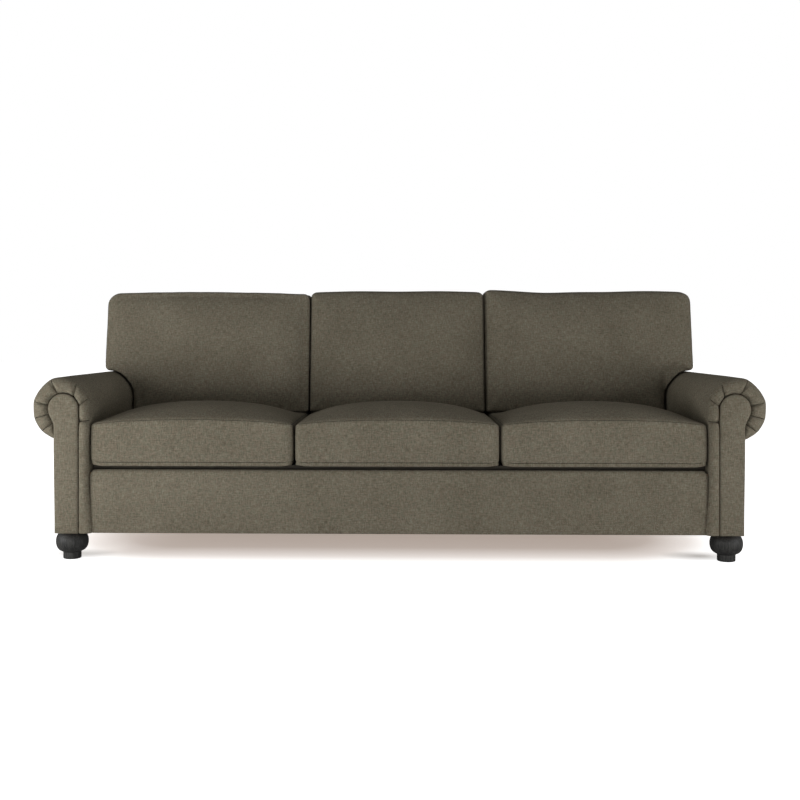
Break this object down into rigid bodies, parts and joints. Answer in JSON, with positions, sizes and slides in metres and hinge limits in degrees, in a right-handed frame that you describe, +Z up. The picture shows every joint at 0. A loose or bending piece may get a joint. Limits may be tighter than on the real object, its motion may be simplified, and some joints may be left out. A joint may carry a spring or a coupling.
{
  "type": "english roll arm sofa",
  "caption": "Upholstered sofa with low rolled arms, loose boxed seat and back cushions that lift out, a padded front border and turned bun feet.",
  "frame": {"origin": "on the floor, at the centre of the sofa's footprint", "axes": "+X along the sofa's width, to the right as seen from the front; -Y out of the front, +Y to the back; +Z up"},
  "size_m": [2.438, 0.965, 0.93],
  "materials": {
    "upholstery": "matte",
    "deck_cloth": "matte",
    "dust_cloth": "matte",
    "foam": "matte",
    "webbing": "matte",
    "frame_wood": "matte",
    "foot_wood": "satin",
    "spring_steel": "satin",
    "foot_bolts": "satin"
  },
  "bodies": {
    "frame": {"front_rail": "frame_wood", "back_rail": "frame_wood", "side_rail_left": "frame_wood", "side_rail_right": "frame_wood", "seat_brace_left": "frame_wood", "seat_brace_right": "frame_wood", "front_border": "upholstery", "deck_panel": "deck_cloth", "dust_cover": "dust_cloth", "seat_springs_left": "spring_steel", "seat_springs_middle": "spring_steel", "seat_springs_right": "spring_steel", "back_post_left": "frame_wood", "back_post_right": "frame_wood", "back_stay_left": "frame_wood", "back_stay_right": "frame_wood", "back_top_rail": "frame_wood", "back_webbing": "webbing", "inside_back_cover": "upholstery", "outside_back_panel": "upholstery", "arm_cover_left": "upholstery", "arm_padding_left": "foam", "arm_front_panel_left": "upholstery", "outside_arm_panel_left": "upholstery", "arm_front_post_left": "frame_wood", "arm_rear_post_left": "frame_wood", "arm_top_rail_left": "frame_wood", "arm_bottom_rail_left": "frame_wood", "arm_cover_right": "upholstery", "arm_padding_right": "foam", "arm_front_panel_right": "upholstery", "outside_arm_panel_right": "upholstery", "arm_front_post_right": "frame_wood", "arm_rear_post_right": "frame_wood", "arm_top_rail_right": "frame_wood", "arm_bottom_rail_right": "frame_wood", "foot_front_left": "foot_wood", "foot_bolt_front_left": "foot_bolts", "foot_block_front_left": "frame_wood", "foot_front_right": "foot_wood", "foot_bolt_front_right": "foot_bolts", "foot_block_front_right": "frame_wood", "foot_rear_left": "foot_wood", "foot_bolt_rear_left": "foot_bolts", "foot_block_rear_left": "frame_wood", "foot_rear_right": "foot_wood", "foot_bolt_rear_right": "foot_bolts", "foot_block_rear_right": "frame_wood"},
    "seat_cushion_left": {"seat_cushion_left_cover": "upholstery", "seat_cushion_left_core": "foam"},
    "seat_cushion_middle": {"seat_cushion_middle_cover": "upholstery", "seat_cushion_middle_core": "foam"},
    "seat_cushion_right": {"seat_cushion_right_cover": "upholstery", "seat_cushion_right_core": "foam"},
    "back_cushion_left": {"back_cushion_left_cover": "upholstery", "back_cushion_left_core": "foam"},
    "back_cushion_middle": {"back_cushion_middle_cover": "upholstery", "back_cushion_middle_core": "foam"},
    "back_cushion_right": {"back_cushion_right_cover": "upholstery", "back_cushion_right_core": "foam"}
  },
  "joints": [
    {"name": "seat_cushion_left_slide", "type": "slide", "parent": "frame", "child": "seat_cushion_left", "axis": [0, -1, 0], "range_m": [0, 0.75]},
    {"name": "seat_cushion_middle_slide", "type": "slide", "parent": "frame", "child": "seat_cushion_middle", "axis": [0, -1, 0], "range_m": [0, 0.75]},
    {"name": "seat_cushion_right_slide", "type": "slide", "parent": "frame", "child": "seat_cushion_right", "axis": [0, -1, 0], "range_m": [0, 0.75]},
    {"name": "back_cushion_left_lift", "type": "slide", "parent": "frame", "child": "back_cushion_left", "axis": [0, 0, 1], "range_m": [0, 0.45]},
    {"name": "back_cushion_middle_lift", "type": "slide", "parent": "frame", "child": "back_cushion_middle", "axis": [0, 0, 1], "range_m": [0, 0.45]},
    {"name": "back_cushion_right_lift", "type": "slide", "parent": "frame", "child": "back_cushion_right", "axis": [0, 0, 1], "range_m": [0, 0.45]}
  ]
}
